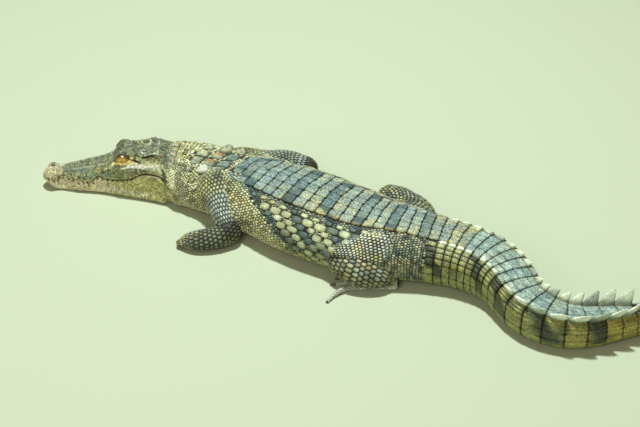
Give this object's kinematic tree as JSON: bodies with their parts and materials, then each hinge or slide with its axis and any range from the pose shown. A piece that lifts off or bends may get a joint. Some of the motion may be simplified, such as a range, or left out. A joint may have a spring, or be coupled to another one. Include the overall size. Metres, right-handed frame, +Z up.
{
  "type": "life-size still model of a resting Nile crocodile",
  "caption": "Young crocodile resting flat on its belly, legs folded back and tail curved, as a still life-size figure.",
  "frame": {"origin": "on the ground under the middle of the trunk, at the flat of the belly", "axes": "+X along the body towards the hips and tail, +Y to the animal's right, +Z up from the ground"},
  "size_m": [1.1381, 0.3578, 0.095],
  "materials": {
    "olive_scales": "dry horny scales, satin",
    "back_scales": "dry horny scutes, satin",
    "jaw_scales": "smooth satin skin with ivory teeth",
    "eye": "clear gloss over an amber iris",
    "claw_horn": "satin horn"
  },
  "bodies": {
    "root": {"head": "olive_scales", "neck": "olive_scales", "upper_arm_left": "olive_scales", "upper_arm_right": "olive_scales", "forearm_left": "olive_scales", "forearm_right": "olive_scales", "hand_left": "olive_scales", "hand_right": "olive_scales", "thigh_left": "olive_scales", "thigh_right": "olive_scales", "shank_left": "olive_scales", "shank_right": "olive_scales", "foot_left": "olive_scales", "foot_right": "olive_scales", "trunk": "back_scales", "tail_base": "back_scales", "tail_middle": "back_scales", "tail_end": "back_scales", "lower_jaw": "jaw_scales", "eye_left": "eye", "eye_right": "eye", "claw_hand_left_1": "claw_horn", "claw_hand_left_2": "claw_horn", "claw_hand_left_3": "claw_horn", "claw_hand_right_1": "claw_horn", "claw_hand_right_2": "claw_horn", "claw_hand_right_3": "claw_horn", "claw_foot_left_1": "claw_horn", "claw_foot_left_2": "claw_horn", "claw_foot_left_3": "claw_horn", "claw_foot_right_1": "claw_horn", "claw_foot_right_2": "claw_horn", "claw_foot_right_3": "claw_horn"}
  },
  "joints": []
}
